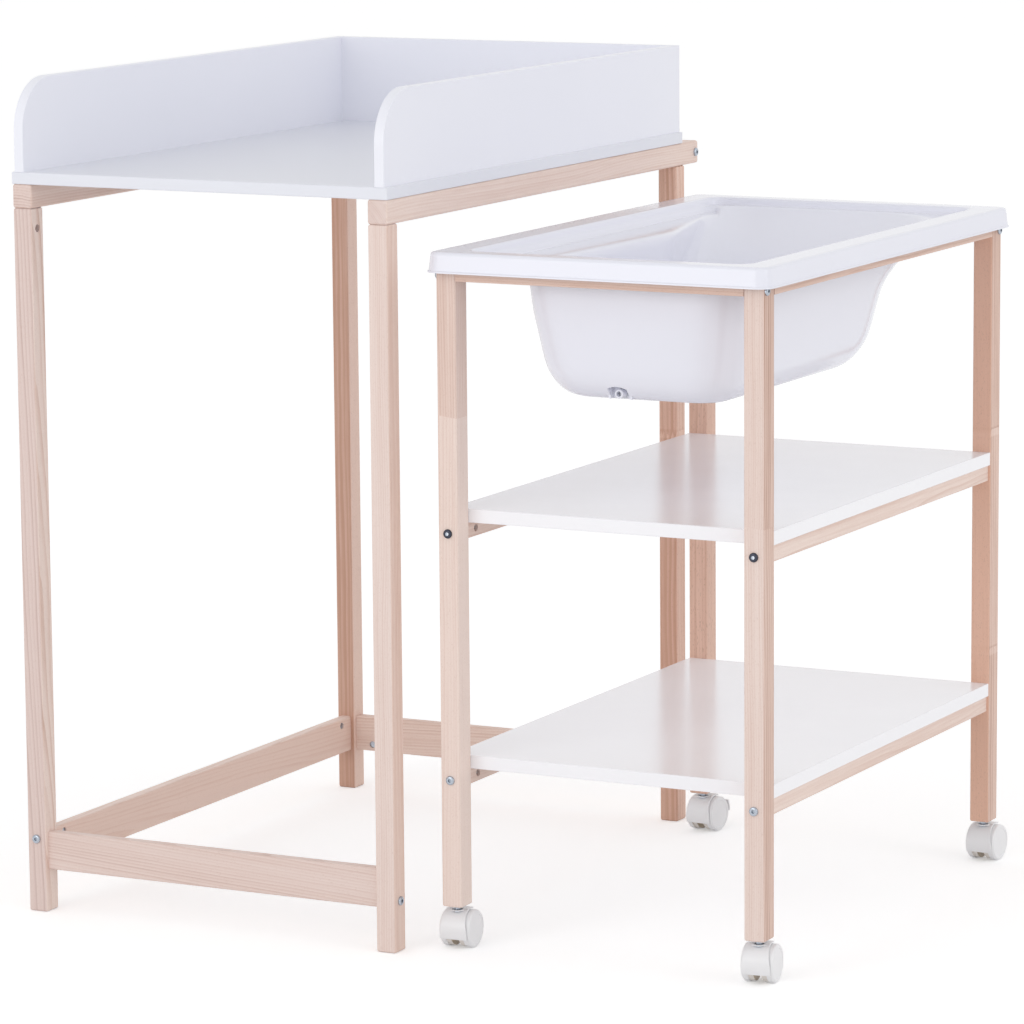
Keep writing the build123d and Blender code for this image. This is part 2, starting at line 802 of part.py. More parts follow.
def bathtub():
    wall = tub_wall
    boss = drain_pocket(wall, basin_bottom + wall / 2, pocket_depth, drain_back + wall)
    shell = rim() - under_rim()
    shell += tray_block(wall, tray_z - wall, ledge_z)
    shell += basin_block(wall, basin_bottom, ledge_z)
    shell -= tray_block(0, tray_z, ledge_z + overrun)
    shell -= basin_block(0, basin_bottom + wall, ledge_z + overrun) - boss
    shell -= drain_pocket(0, basin_bottom - overrun, pocket_depth * 2, drain_back)
    shell -= rod((drain_x, drain_back - overrun, drain_z), (0, 1, 0), spigot_tail_diameter, wall + overrun * 2)
    return shell


def drain_spigot():
    """A short hose spigot whose shoulder bears on the seal and whose tail goes through the wall."""
    seat = drain_back - seal_thickness
    nose = seat - spigot_projection
    radius = spigot_diameter / 2
    profile = Polyline(
        (drain_bore / 2, nose),
        (radius - spigot_edge, nose),
        (radius, nose + spigot_edge),
        (radius, seat),
        (spigot_tail_diameter / 2, seat),
        (spigot_tail_diameter / 2, drain_back + tub_wall),
        (drain_bore / 2, drain_back + tub_wall),
        close=True,
    )
    return Pos(drain_x, 0, drain_z) * revolve(make_face(profile), Axis.Y)


def drain_seal():
    start = (drain_x, drain_back - seal_thickness, drain_z)
    ring = rod(start, (0, 1, 0), seal_diameter, seal_thickness)
    return ring - rod(start, (0, 1, 0), spigot_tail_diameter, seal_thickness)


def drain_plug():
    """A plug pushed into the drain from inside the basin, with a tab to pull it by."""
    face = drain_back + tub_wall
    stem = rod(
        (drain_x, face - plug_stem_length, drain_z), (0, 1, 0), drain_bore - plug_clearance * 2, plug_stem_length
    )
    head = rod((drain_x, face, drain_z), (0, 1, 0), plug_head_diameter, plug_head_height)
    half_width, half_thickness = plug_tab_width / 2, plug_tab_thickness / 2
    tab = box_between(
        (drain_x - half_width, drain_x + half_width),
        (face + plug_head_height, face + plug_head_height + plug_tab_length),
        (drain_z - half_thickness, drain_z + half_thickness),
    )
    return stem + head + tab


def save_tub():
    save("bathtub", bathtub())
    save("drain_spigot", drain_spigot())
    save("drain_seal", drain_seal())
    save("drain_plug", drain_plug())


# Casters. Each is built with its stem upright over the origin and its wheels trailing to +Y.
def caster_places():
    across = {"left": cart_left + cart_leg_mid, "right": cart_right - cart_leg_mid}
    along = {"front": cart_front + cart_leg_depth / 2, "rear": cart_rear - cart_leg_depth / 2}
    return {end + "_" + side: (across[side], along[end]) for end in along for side in across}


def socket_hole(place):
    return rod((*place, cart_leg_bottom - overrun), (0, 0, 1), socket_diameter, socket_length + overrun)


def caster_socket():
    """A flanged sleeve pressed into the leg's foot."""
    flange_bottom = (0, 0, cart_leg_bottom - socket_flange_height)
    sleeve = rod((0, 0, cart_leg_bottom), (0, 0, 1), socket_diameter, socket_length)
    flange = rod(flange_bottom, (0, 0, 1), socket_flange_diameter, socket_flange_height)
    bore = rod(flange_bottom, (0, 0, 1), socket_bore, socket_pin_length + socket_flange_height)
    return sleeve + flange - bore


def caster_stem():
    """The swivel stem, from the hood's bore up into the socket."""
    flange_bottom = cart_leg_bottom - socket_flange_height
    collar_top = stem_seat + collar_height
    lower = rod((0, 0, stem_seat), (0, 0, -1), stem_diameter, stem_length)
    collar = rod((0, 0, stem_seat), (0, 0, 1), collar_diameter, collar_height)
    neck = rod((0, 0, collar_top), (0, 0, 1), stem_neck_diameter, flange_bottom - collar_top)
    pin = rod((0, 0, flange_bottom), (0, 0, 1), socket_bore, socket_pin_length + socket_flange_height)
    return lower + collar + neck + pin


def axle_disc(radius, width):
    """A disc about the axle, as thick as the width, for the hood and the pedal."""
    return extrude(Plane.YZ * Pos(caster_trail, wheel_radius) * Circle(radius), width / 2, both=True)


def hood_envelope():
    """A block that keeps the hood's front and top, and narrows it upwards."""
    low, high, top = hood_width / 2, hood_top_width / 2, boss_top
    side = Polyline(
        (-low, hood_skirt_height),
        (low, hood_skirt_height),
        (low, wheel_radius),
        (high, top),
        (-high, top),
        (-low, wheel_radius),
        close=True,
    )
    return extrude(make_face(Plane.XZ * side), hood_outer_radius * 2, both=True)


def caster_hood(braked):
    """The shell over both wheels, the web between them and the boss for the stem."""
    half = hood_width
    front = caster_trail - hood_outer_radius - overrun
    z_range = (0, boss_top)
    shell = axle_disc(hood_outer_radius, hood_width) - axle_disc(hood_inner_radius, hood_width)
    shell &= box_between((-half, half), (front, caster_trail + hood_rear_reach), z_range)
    web = axle_disc(hood_inner_radius + hood_wall / 2, hood_web)
    web &= box_between((-half, half), (front, caster_trail + hood_web_reach), z_range)
    front_of_boss = caster_trail - boss_diameter / 2
    clear = sqrt(hood_inner_radius**2 - front_of_boss**2)
    boss_low = wheel_radius + clear
    boss = rod((0, 0, boss_low), (0, 0, 1), boss_diameter, boss_top - boss_low)
    hood = (shell + web + boss) & hood_envelope()
    hood -= rod((0, 0, boss_top + overrun), (0, 0, -1), boss_recess_diameter, boss_recess_depth + overrun)
    bore = stem_diameter + stem_clearance * 2
    hood -= rod((0, 0, boss_top), (0, 0, -1), bore, boss_recess_depth + stem_length + overrun)
    hood -= rod((-hood_web, caster_trail, wheel_radius), (1, 0, 0), axle_diameter, hood_web * 2)
    if braked:
        hood -= pedal_slot()
        hood -= rod((-hood_web, *pedal_pivot()), (1, 0, 0), pivot_diameter + pivot_clearance * 2, hood_web * 2)
    return hood


def pedal_pivot():
    return (caster_trail + pivot_behind_axle, wheel_radius + pivot_above_axle)


def pedal_slot():
    """The slot in the web's rear that takes the pedal's tongue, open to the rear and the top."""
    y, z = pedal_pivot()
    half = pedal_tongue / 2 + pedal_gap
    reach = pedal_eye_diameter / 2 + pedal_gap
    far = hood_outer_radius
    return box_between((-half, half), (y - reach, y + far), (wheel_radius, z + far))


def wheel(side):
    """One wheel, blind bored for the axle from its inner face."""
    inner = wheel_spacing / 2
    outer = inner + wheel_width
    step = outer - wheel_disc_width
    core = wheel_radius - wheel_core_step
    dish = wheel_dish_diameter / 2
    bore = axle_diameter / 2 + axle_clearance
    profile = Polyline(
        (inner, bore),
        (inner, core),
        (step, core),
        (step, wheel_radius),
        (outer - wheel_round, wheel_radius),
        (outer, wheel_radius - wheel_round),
        (outer, dish + wheel_dish_depth),
        (outer - wheel_dish_depth, dish),
        (outer - wheel_dish_depth, 0),
        (inner + wheel_bore_depth, 0),
        (inner + wheel_bore_depth, bore),
        close=True,
    )
    solid = revolve(make_face(profile), Axis.X)
    if side < 0:
        solid = mirror(solid, Plane.YZ)
    return Pos(0, caster_trail, wheel_radius) * solid


def caster_axle():
    half = wheel_spacing / 2 + wheel_bore_depth - axle_end_gap
    return rod((-half, caster_trail, wheel_radius), (1, 0, 0), axle_diameter, half * 2)


def pedal_point(share):
    """A point in Y and Z on the pedal's middle line, at a share of its arc."""
    angle = radians(pedal_low_angle + share * (pedal_high_angle - pedal_low_angle))
    radius = pedal_radius + pedal_thickness / 2
    return (caster_trail + radius * cos(angle), wheel_radius + radius * sin(angle))


def brake_pedal():
    """A wide curved pedal on a tongue, with trunnions that turn in the hood's web."""
    low, high = radians(pedal_low_angle), radians(pedal_high_angle)
    reach = (pedal_radius + pedal_thickness) * 2
    wedge = Polyline(
        (0, 0), (reach * cos(low), reach * sin(low)), (reach * cos(high), reach * sin(high)), close=True
    )
    sector = Plane.YZ * Pos(caster_trail, wheel_radius) * make_face(wedge)
    band = axle_disc(pedal_radius + pedal_thickness, pedal_width) - axle_disc(pedal_radius, pedal_width)
    band &= extrude(sector, pedal_width / 2, both=True)
    band = fillet(band.edges().filter_by(Axis.X), pedal_round)
    y, z = pedal_pivot()
    half = pedal_eye_diameter / 2
    eye = rod((-pedal_tongue / 2, y, z), (1, 0, 0), pedal_eye_diameter, pedal_tongue)
    foot_share, head_share = tongue_shares
    outline = Polyline((y, z - half), pedal_point(foot_share), pedal_point(head_share), (y, z + half), close=True)
    tongue = extrude(Plane.YZ * make_face(outline), pedal_tongue / 2, both=True)
    pin = rod((-hood_web / 2, y, z), (1, 0, 0), pivot_diameter, hood_web)
    return band + eye + tongue + pin


def save_casters():
    sockets = []
    stems = []
    for name, place in caster_places().items():
        here = Pos(*place, 0)
        turned = here * Rot(0, 0, caster_angles[name])
        sockets.append(here * caster_socket())
        stems.append(here * caster_stem())
        save("caster_hood_" + name, turned * caster_hood(name == "rear_left"))
        save("caster_axle_" + name, turned * caster_axle())
        for hand, side in (("left", -1), ("right", 1)):
            save("wheel_" + name + "_" + hand, turned * wheel(side))
        if name == "rear_left":
            save("brake_lever", turned * brake_pedal())
    save("caster_sockets", *sockets)
    save("caster_stems", *stems)


save_table()
save_cart()
save_tub()
save_casters()
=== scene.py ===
from math import asin, atan2, cos, pi, radians, sin, tan

import bmesh
import bpy
from mathutils import Matrix, Vector


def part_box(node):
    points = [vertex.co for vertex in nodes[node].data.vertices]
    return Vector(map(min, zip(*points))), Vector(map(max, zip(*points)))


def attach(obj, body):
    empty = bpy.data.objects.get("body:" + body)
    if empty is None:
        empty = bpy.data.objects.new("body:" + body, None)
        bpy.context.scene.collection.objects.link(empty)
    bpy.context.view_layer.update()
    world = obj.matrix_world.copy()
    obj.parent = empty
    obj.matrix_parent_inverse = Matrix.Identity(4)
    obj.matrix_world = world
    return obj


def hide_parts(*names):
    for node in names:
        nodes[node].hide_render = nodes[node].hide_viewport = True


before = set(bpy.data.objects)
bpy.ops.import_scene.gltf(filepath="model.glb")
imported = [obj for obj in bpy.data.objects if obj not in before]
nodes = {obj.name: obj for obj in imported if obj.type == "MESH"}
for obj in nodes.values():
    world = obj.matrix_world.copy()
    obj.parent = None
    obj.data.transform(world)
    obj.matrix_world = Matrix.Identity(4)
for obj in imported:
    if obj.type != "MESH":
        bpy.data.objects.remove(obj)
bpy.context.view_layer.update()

# Camera. A long lens on the photograph's right, a little above the tub, looks down on the furniture.
# Its place is measured from the changing board's front edge, so it follows the board.
board_low, board_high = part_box("changing_top")
board_front = Vector(((board_low.x + board_high.x) / 2, board_low.y, 0))
camera_turn, camera_tilt, camera_roll = radians(27.22), radians(-9.25), radians(-0.46)
focal_pixels, picture_pixels, film_width = 5059.08, 1024, 36.0
lens = bpy.data.cameras.new("lens")
lens.sensor_width = film_width
lens.lens = film_width * focal_pixels / picture_pixels
lens.clip_start, lens.clip_end = 0.5, 200
camera = bpy.data.objects.new("camera", lens)
across = Vector((cos(camera_turn), sin(camera_turn), 0))
ahead = Vector((-sin(camera_turn) * cos(camera_tilt), cos(camera_turn) * cos(camera_tilt), sin(camera_tilt)))
above = across.cross(ahead)
right = across * cos(camera_roll) + above * sin(camera_roll)
up = above * cos(camera_roll) - across * sin(camera_roll)
camera.rotation_euler = Matrix((right, up, -ahead)).transposed().to_euler()
camera.location = board_front + Vector((3.35002, -5.6245, 1.62491))
bpy.context.scene.collection.objects.link(camera)
bpy.context.scene.camera = camera
bpy.context.scene.view_settings.view_transform = "Standard"


# Studio. A white sweep with soft light from all round, weaker from overhead, a broad lamp at the front
# left and a larger one further off at the right. The floor is white to the camera, keeps only the
# furniture's faint shadow, and lets a camera below it see through.
class Level:
    """A number, colour or vector that varies over a surface. Sums and products add Math nodes."""

    def __init__(self, finish, socket):
        self.finish, self.socket = finish, socket

    def math(self, operation, *values):
        return self.finish.node("ShaderNodeMath", {"operation": operation}, dict(enumerate(values)))

    def __add__(self, other):
        return self.math("ADD", self, other)

    def __sub__(self, other):
        return self.math("SUBTRACT", self, other)

    def __rsub__(self, other):
        return self.math("SUBTRACT", other, self)

    def __mul__(self, other):
        return self.math("MULTIPLY", self, other)

    def __truediv__(self, other):
        return self.math("DIVIDE", self, other)

    def __pow__(self, other):
        return self.math("POWER", self, other)

    __radd__, __rmul__ = __add__, __mul__


class Finish:
    """A surface finish, whose nodes are added one by one."""

    def __init__(self, owner):
        owner.use_nodes = True
        self.owner, self.tree = owner, owner.node_tree
        self.tree.nodes.clear()

    def node(self, kind, settings=None, sockets=None, out=0):
        """A node of any type: its settings first, then the values or links of its sockets."""
        node = self.tree.nodes.new(kind)
        for name, value in (settings or {}).items():
            if name == "stops":
                ramp = node.color_ramp.elements
                ramp[0].position, ramp[0].color = value[0]
                ramp[1].position, ramp[1].color = value[-1]
                for place, colour in value[1:-1]:
                    ramp.new(place).color = colour
            else:
                setattr(node, name, value)
        for name, value in (sockets or {}).items():
            if isinstance(value, Level):
                self.tree.links.new(value.socket, node.inputs[name])
            else:
                node.inputs[name].default_value = value
        return Level(self, node.outputs[out]) if node.outputs else node

    def blend(self, share, low, high):
        """One colour passing into another."""
        return self.node("ShaderNodeMix", {"data_type": "RGBA"}, {"Factor": share, 6: low, 7: high}, 2)

    def join(self, share, low, high):
        """One shader passing into another."""
        return self.node("ShaderNodeMixShader", None, {0: share, 1: low, 2: high})

    def noise(self, vector, scale, detail=2.0, seed=0.0):
        sockets = {"Vector": vector, "W": seed, "Scale": scale, "Detail": detail}
        return self.node("ShaderNodeTexNoise", {"noise_dimensions": "4D"}, sockets)

    def step(self, value, low, high):
        """0 below low, 1 above high, and a smooth rise between."""
        sockets = {"Value": value, 1: low, 2: high}
        return self.node("ShaderNodeMapRange", {"interpolation_type": "SMOOTHSTEP"}, sockets)

    def split(self, vector):
        """A vector's three numbers."""
        first = self.node("ShaderNodeSeparateXYZ", None, {0: vector})
        return [Level(self, output) for output in first.socket.node.outputs]

    def coat(self, colour, roughness, height, bump, depth, **more):
        """Ends the finish: a shader of this colour and roughness, with a fine relief."""
        relief = self.node("ShaderNodeBump", None, {"Strength": bump, "Distance": depth, "Height": height})
        sockets = {"Base Color": colour, "Roughness": roughness, "Normal": relief, **more}
        shader = self.node("ShaderNodeBsdfPrincipled", None, sockets)
        self.node("ShaderNodeOutputMaterial", None, {"Surface": shader})
        return self


def lamp(name, place, target, size, power):
    light = bpy.data.lights.new(name, "AREA")
    light.shape, light.size, light.energy = "DISK", size, power
    made = bpy.data.objects.new(name, light)
    made.location = place
    made.rotation_euler = (Vector(target) - Vector(place)).to_track_quat("-Z", "Y").to_euler()
    bpy.context.scene.collection.objects.link(made)


def looked_at(finish):
    """1 where the camera or a mirror image sees the surface itself, and 0 where it only gives light."""
    seen = finish.node("ShaderNodeLightPath")
    mirrored = finish.node("ShaderNodeLightPath", out="Is Glossy Ray")
    return finish.step(seen + mirrored, 0.0, 1.0)


white = (1, 1, 1, 1)
horizon_level, zenith_drop = 1.0, 0.44
world = Finish(bpy.data.worlds.new("studio"))
bpy.context.scene.world = world.owner
upward = world.split(world.node("ShaderNodeTexCoord", out="Generated"))[2]
upward = world.node("ShaderNodeMath", {"operation": "MAXIMUM"}, {0: upward, 1: 0.0})
level = horizon_level - upward ** 2 * zenith_drop
strength = level + looked_at(world) * (1 - level)
surround = world.node("ShaderNodeBackground", None, {"Color": white, "Strength": strength})
world.node("ShaderNodeOutputWorld", None, {"Surface": surround})

furniture_middle = Vector((0, 0, 0.55))
lamp("front_lamp", furniture_middle + Vector((-1.2, -4.4, 1.2)), furniture_middle, 2.6, 28)
lamp("right_lamp", furniture_middle + Vector((8.4, -1.2, 3.4)), furniture_middle, 4.8, 76)

floor_reach, floor_colour, floor_glow = 45.0, (0.9, 0.9, 0.9, 1), 0.3
floor_mesh = bpy.data.meshes.new("floor")
floor_corners = [(x * floor_reach, y * floor_reach, 0) for x, y in ((-1, -1), (1, -1), (1, 1), (-1, 1))]
floor_mesh.from_pydata(floor_corners, [], [(0, 1, 2, 3)])
floor = bpy.data.objects.new("floor", floor_mesh)
bpy.context.scene.collection.objects.link(floor)
sweep = Finish(bpy.data.materials.new("sweep"))
matt = sweep.node("ShaderNodeBsdfDiffuse", None, {"Color": floor_colour})
glow = sweep.node("ShaderNodeEmission", None, {"Color": white, "Strength": looked_at(sweep) * floor_glow})
from_above = sweep.node("ShaderNodeAddShader", None, {0: matt, 1: glow})
from_below = sweep.node("ShaderNodeBsdfTransparent")
surface = sweep.join(sweep.node("ShaderNodeNewGeometry", out="Backfacing"), from_above, from_below)
sweep.node("ShaderNodeOutputMaterial", None, {"Surface": surface})
floor_mesh.materials.append(sweep.owner)


# Table frame. Planed and lacquered beech bars: four legs, two side rails that lie on them, a rail
# between these at the rear and three stretchers. The bars are bolted, with barrel nuts in blind holes.
mm = 1000
pale_beech, middle_beech, dark_beech = (0.87, 0.72, 0.65, 1), (0.74, 0.545, 0.465, 1), (0.44, 0.24, 0.17, 1)
warm_beech, rosy_beech, ray_brown = (0.78, 0.47, 0.345, 1), (0.70, 0.58, 0.56, 1), (0.50, 0.30, 0.22, 1)
finger_pitch, finger_length, blunt_lean = 3.0, 7.5, 0.12
# How finely each mark of the wood repeats across and along a bar, to the millimetre.
sway_marks, wave_marks, cloud_marks = (0.01, 0.0022), (0.06, 0.008), (0.04, 0.004)
fibre_marks, band_marks, ray_across, ray_along = (1.1, 0.02), (0.2, 0.002), 1.3, 0.4
fibre_shade, band_shade, cloud_shade, end_shade, ray_shade = 0.42, 0.5, 0.4, 0.16, 0.26


def paint(made, finish, body=None):
    """Puts a finish on a piece or CAD node, and names the body of a new piece."""
    made.data.materials.clear()
    made.data.materials.append(finish.owner)
    if body:
        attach(made, body)


def lengthways(finish, vector, along):
    """A vector's two numbers across a bar and the one along it."""
    x, y, z = finish.split(vector)
    return {"X": (y, z, x), "Y": (x, z, y), "Z": (x, y, z)}[along]


def stretched(finish, vector, across, along):
    """A vector multiplied by one number across a bar and another along it."""
    return finish.node("ShaderNodeVectorMath", {"operation": "MULTIPLY"}, {0: vector, 1: (across, across, along)})


def finger_joint(finish, u, rise, fingers, darker):
    """Which stock a point of a glued-up leg belongs to, 0 or 1, and how dark the joint makes it."""
    if fingers:
        comb = finish.node("ShaderNodeMath", {"operation": "PINGPONG"}, {0: u + 100, 1: finger_pitch / 2})
        edge = rise + comb * (2 * finger_length / finger_pitch)
        near = 1 - finish.step((rise + finger_length / 2) ** 2, 20.0, 60.0)
        darker = near * 0.4 + darker
    else:
        edge = rise + u * blunt_lean
    above = finish.step(edge, -0.3, 0.3)
    glue = finish.step(edge, -0.8, 0.0) * (1 - finish.step(edge, 0.0, 0.8))
    return above, (above - 0.5) * darker + glue * 0.06


def beech(node, along, seed, tones_and_shade, heart=(38, 62), ring=3.0, depth=0.2, joints=(), slant=0.0, tilt=0.0, speck=1.0):
    """Gives a bar beech cut from a log whose heart lies beside it: rings, fibres and ray flecks.

    along is the bar's axis. tones_and_shade gives for two neighbouring faces how dark they are, from 0
    to 1, and how warm, from -1 for rosy to 1: partly the bar's own colour, and partly painted shade and
    light, darker and warmer where a face lay in shadow and paler where it was lit. heart is the way to
    the log's middle across the bar and ring the width of a year's growth, in millimetres, and depth how
    dark the late wood is.
    lean the grain across the bar, and tilt draws the rings out into arches. speck is the size of the
    ray flecks. joints gives for each finger joint its height, whether its fingers show, and how much
    darker the stock above it is.
    """
    finish = Finish(bpy.data.materials.new("beech_" + node))
    low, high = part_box(node)
    place = (low + high) / 2
    point = finish.node("ShaderNodeTexCoord", out="Object")
    point = finish.node("ShaderNodeVectorMath", {"operation": "SUBTRACT"}, {0: point, 1: place})
    u, v, w = [part * mm for part in lengthways(finish, point, along)]
    facing = lengthways(finish, finish.node("ShaderNodeTexCoord", out="Normal"), along)
    end_grain = finish.step(facing[2] * facing[2], 0.4, 0.8)
    side = finish.step(facing[0] * facing[0], 0.3, 0.7)
    (dark, warm), (dark_side, warm_side) = tones_and_shade
    flecked = dark * 0.7 + 0.6
    tone_and_shade = side * (dark_side - dark) + dark
    warmth = side * (warm_side - warm) + warm - end_grain * 0.5

    stock, seam = 0.0, 0.0
    for height, fingers, darker in joints:
        above, shaded = finger_joint(finish, u, w - (height - place.z) * mm, fingers, darker)
        stock, seam = stock + above, seam + shaded
    grain = finish.node(
        "ShaderNodeCombineXYZ", None, {0: u + w * slant + stock * 90, 1: v + w * tilt + stock * 60, 2: w}
    )
    sway = finish.noise(stretched(finish, grain, *sway_marks), 1.0, 1.0, seed)
    wave = finish.noise(stretched(finish, grain, *wave_marks), 1.0, 2.0, seed + 5)
    beside, deep = finish.split(grain)[:2]
    beside, deep = beside + heart[0] + (sway - 0.5) * 26, deep + heart[1]
    year = ((beside * beside + deep * deep) ** 0.5 + (wave - 0.5) * 3.0) / ring
    part = finish.node("ShaderNodeMath", {"operation": "FRACT"}, {0: year})
    which = finish.node("ShaderNodeMath", {"operation": "FLOOR"}, {0: year})
    strong = finish.node("ShaderNodeTexWhiteNoise", {"noise_dimensions": "1D"}, {"W": which + seed})
    late = finish.step(part, 0.2, 0.95) * (1 - finish.step(part, 0.95, 1.0)) * (strong * 0.8 + 0.2)

    fibre = finish.noise(stretched(finish, grain, *fibre_marks), 1.0, 3.0, seed + 9)
    ray = finish.noise(stretched(finish, grain, ray_across / speck, ray_along / speck), 1.0, 1.0, seed + 13)
    cloud = finish.noise(stretched(finish, grain, *cloud_marks), 1.0, 2.0, seed + 21)
    band = finish.noise(stretched(finish, grain, *band_marks), 1.0, 1.0, seed + 31)
    flecks = finish.step(ray, 0.6, 0.68) * flecked * speck
    rings = (late - 0.3) * (end_grain * 0.5 + depth * 1.5)
    shade = rings + (fibre - 0.5) * fibre_shade + (band - 0.5) * band_shade + (cloud - 0.5) * cloud_shade
    shade = shade + end_grain * end_shade + tone_and_shade + seam
    stops = [(0.0, pale_beech), (0.5, middle_beech), (1.0, dark_beech)]
    wood = finish.node("ShaderNodeValToRGB", {"stops": stops}, {0: shade})
    wood = finish.blend(warmth, wood, warm_beech)
    wood = finish.blend(warmth * -1, wood, rosy_beech)
    wood = finish.blend(flecks * ray_shade, wood, ray_brown)
    finish.coat(wood, (fibre - 0.5) * 0.16 + 0.5, fibre - flecks * 0.5, bump=0.1, depth=0.0003, IOR=1.45)
    paint(nodes[node], finish)


# The rear legs' front faces are painted darker and warmer than their sides, as painted shade under the boards above
# them.
beech(
    "table_leg_front_left", "Z", 3.1, ((0.5, -0.6), (0.12, 0.0)), heart=(30, 14), ring=5.2, depth=0.5,
    slant=0.035, tilt=0.012,
)
beech("table_leg_front_right", "Z", 11.7, ((0.16, -0.3), (0.34, 0.1)), heart=(60, 24), ring=3.4)
beech("table_leg_rear_left", "Z", 17.3, ((0.97, 0.3), (-0.06, 0.4)), heart=(24, 70))
beech(
    "table_leg_rear_right", "Z", 23.9, ((0.92, 0.45), (0.42, 0.5)), heart=(28, 40), ring=6.0, depth=0.5,
    joints=((0.572, True, -0.12),), slant=0.02, speck=1.4,
)
beech("table_rail_left", "Y", 29.2, ((0.36, 0.0), (0.36, 0.0)), heart=(8, 120), ring=3.8)
beech("table_rail_right", "Y", 37.8, ((0.2, 0.0), (0.2, 0.0)), heart=(60, 60), ring=2.6)
beech("table_rail_rear", "X", 41.5, ((0.3, 0.0), (0.3, 0.0)), heart=(52, 30))
beech(
    "table_stretcher_front", "X", 52.4, ((0.3, -0.3), (0.36, -0.4)), heart=(4, 40), ring=4.2, depth=0.34,
    tilt=0.055,
)
beech(
    "table_stretcher_left", "Y", 60.6, ((0.1, 0.1), (0.08, 0.3)), heart=(24, 26), ring=4.2, depth=0.34,
    slant=0.02, tilt=0.03,
)
beech(
    "table_stretcher_rear", "X", 66.1, ((0.3, 0.1), (0.36, 0.05)), heart=(10, 36), ring=4.6, depth=0.26,
    tilt=-0.04,
)
beech("table_dowels", "X", 71.9, ((0.3, 0.0), (0.3, 0.0)))


# Cart frame. Four beech legs glued up from shorter stock with finger joints, four top rails that
# the tub hangs on, and two rails under each shelf.
beech(
    "cart_leg_front_left", "Z", 81.3, ((0.2, -0.1), (0.1, 0.0)), heart=(30, 52),
    joints=((0.703, False, 0.24),),
)
beech(
    "cart_leg_front_right", "Z", 87.6, ((0.26, -0.2), (0.62, 0.0)), heart=(52, 36),
    joints=((0.588, False, 0.1),),
)
# The rear legs are painted darker and warmer than the front ones, as painted shade under the tub and shelves.
beech(
    "cart_leg_rear_left", "Z", 93.4, ((0.78, 0.5), (0.5, 0.6)), heart=(26, 60),
    joints=((0.672, True, 0.1),), speck=1.9,
)
beech(
    "cart_leg_rear_right", "Z", 99.2, ((0.68, 0.85), (0.6, 0.1)), heart=(10, 30), ring=4.2,
    joints=((0.612, True, 0.1), (0.305, True, -0.12)), tilt=0.03, speck=1.3,
)
beech("cart_rail_left", "Y", 104.8, ((0.35, 0.2), (0.35, 0.2)))
beech("cart_rail_right", "Y", 109.1, ((0.35, 0.2), (0.35, 0.2)), heart=(50, 34))
beech("cart_rail_front", "X", 115.7, ((0.42, 0.2), (0.42, 0.2)))
beech("cart_rail_rear", "X", 121.2, ((0.4, 0.2), (0.4, 0.2)), heart=(40, 46))
beech("upper_shelf_rail_left", "Y", 127.8, ((0.3, 0.1), (0.3, 0.1)), heart=(44, 30))
beech("upper_shelf_rail_right", "Y", 133.4, ((0.24, 0.0), (0.24, 0.0)), heart=(44, 30))
beech("lower_shelf_rail_left", "Y", 139.9, ((0.3, 0.1), (0.3, 0.1)), heart=(44, 30))
beech("lower_shelf_rail_right", "Y", 145.3, ((0.24, 0.0), (0.24, 0.0)), heart=(44, 30))
beech("cart_dowels", "Y", 151.6, ((0.3, 0.0), (0.3, 0.0)))


# Boards. The changing board, its three guards and both shelves are particle board with a satin white
# melamine face and glued edge strips. A fine pebble in the foil breaks up the reflections.
pebble_fineness, cloud_fineness = 900.0, 6.0


def coated_board(name, low, high, roughness, gloss=1.5):
    finish = Finish(bpy.data.materials.new(name))
    point = finish.node("ShaderNodeTexCoord", out="Object")
    pebble = finish.noise(point, pebble_fineness, 2.0)
    cloud = finish.noise(point, cloud_fineness, 3.0, 2.0)
    sheen = (cloud - 0.5) * 0.08 + roughness
    return finish.coat(finish.blend(cloud, low, high), sheen, pebble, bump=0.1, depth=0.0003, IOR=gloss)


# The changing board's top is painted darker than the guards of the same melamine, as painted shade from the guards
# round it.
paint(nodes["changing_top"], coated_board("melamine", (0.77, 0.785, 0.85, 1), (0.80, 0.81, 0.87, 1), 0.3))
guard_melamine = coated_board("guard_melamine", (0.85, 0.86, 0.93, 1), (0.88, 0.885, 0.95, 1), 0.32)
for node in ("guard_left", "guard_right", "guard_rear"):
    paint(nodes[node], guard_melamine)
# The shelves are painted paler than the guards of the same melamine, as painted light against the shade of the tub
# above them.
shelf_melamine_painted_light = coated_board("shelf_melamine_painted_light", (0.925, 0.92, 0.955, 1), (0.95, 0.945, 0.975, 1), 0.2, 1.65)
for node in ("upper_shelf", "lower_shelf"):
    paint(nodes[node], shelf_melamine_painted_light)


# Bathtub. One glossy white moulding of even thickness, with a spigot of the same plastic: a turned-down
# skirt, a raised rim, a ledge with a sunk soap tray, and a basin with a waist, a reclined back and a
# drain pocket. Sizes here are in millimetres from the tub's left front corner.
flow_fineness, skin_fineness, flow_height, skin_height = 9.0, 700.0, 0.7, 0.05


def moulded(name, colour, deep_colour, roughness, ripple):
    finish = Finish(bpy.data.materials.new(name))
    point = finish.node("ShaderNodeTexCoord", out="Object")
    flow = finish.noise(point, flow_fineness, 2.0)
    skin = finish.noise(point, skin_fineness, 1.0, 3.0)
    plastic, sheen = finish.blend(flow, deep_colour, colour), (flow - 0.5) * 0.06 + roughness
    return finish.coat(plastic, sheen, flow * flow_height + skin * skin_height, bump=ripple, depth=0.0006, IOR=1.5)


tub_low, tub_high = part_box("bathtub")
tub_wall = 3.0
lip = 4.5
tub_place = Vector((tub_low.x + lip / mm, tub_low.y + lip / mm, tub_high.z))
tub_width = (tub_high.x - tub_low.x) * mm - 2 * lip
tub_length = (tub_high.y - tub_low.y) * mm - 2 * lip
stretches = (110, 64, 40, 90, 150, 130)
arc_steps = 16
waist, neck, waist_round = 491, 701, 170


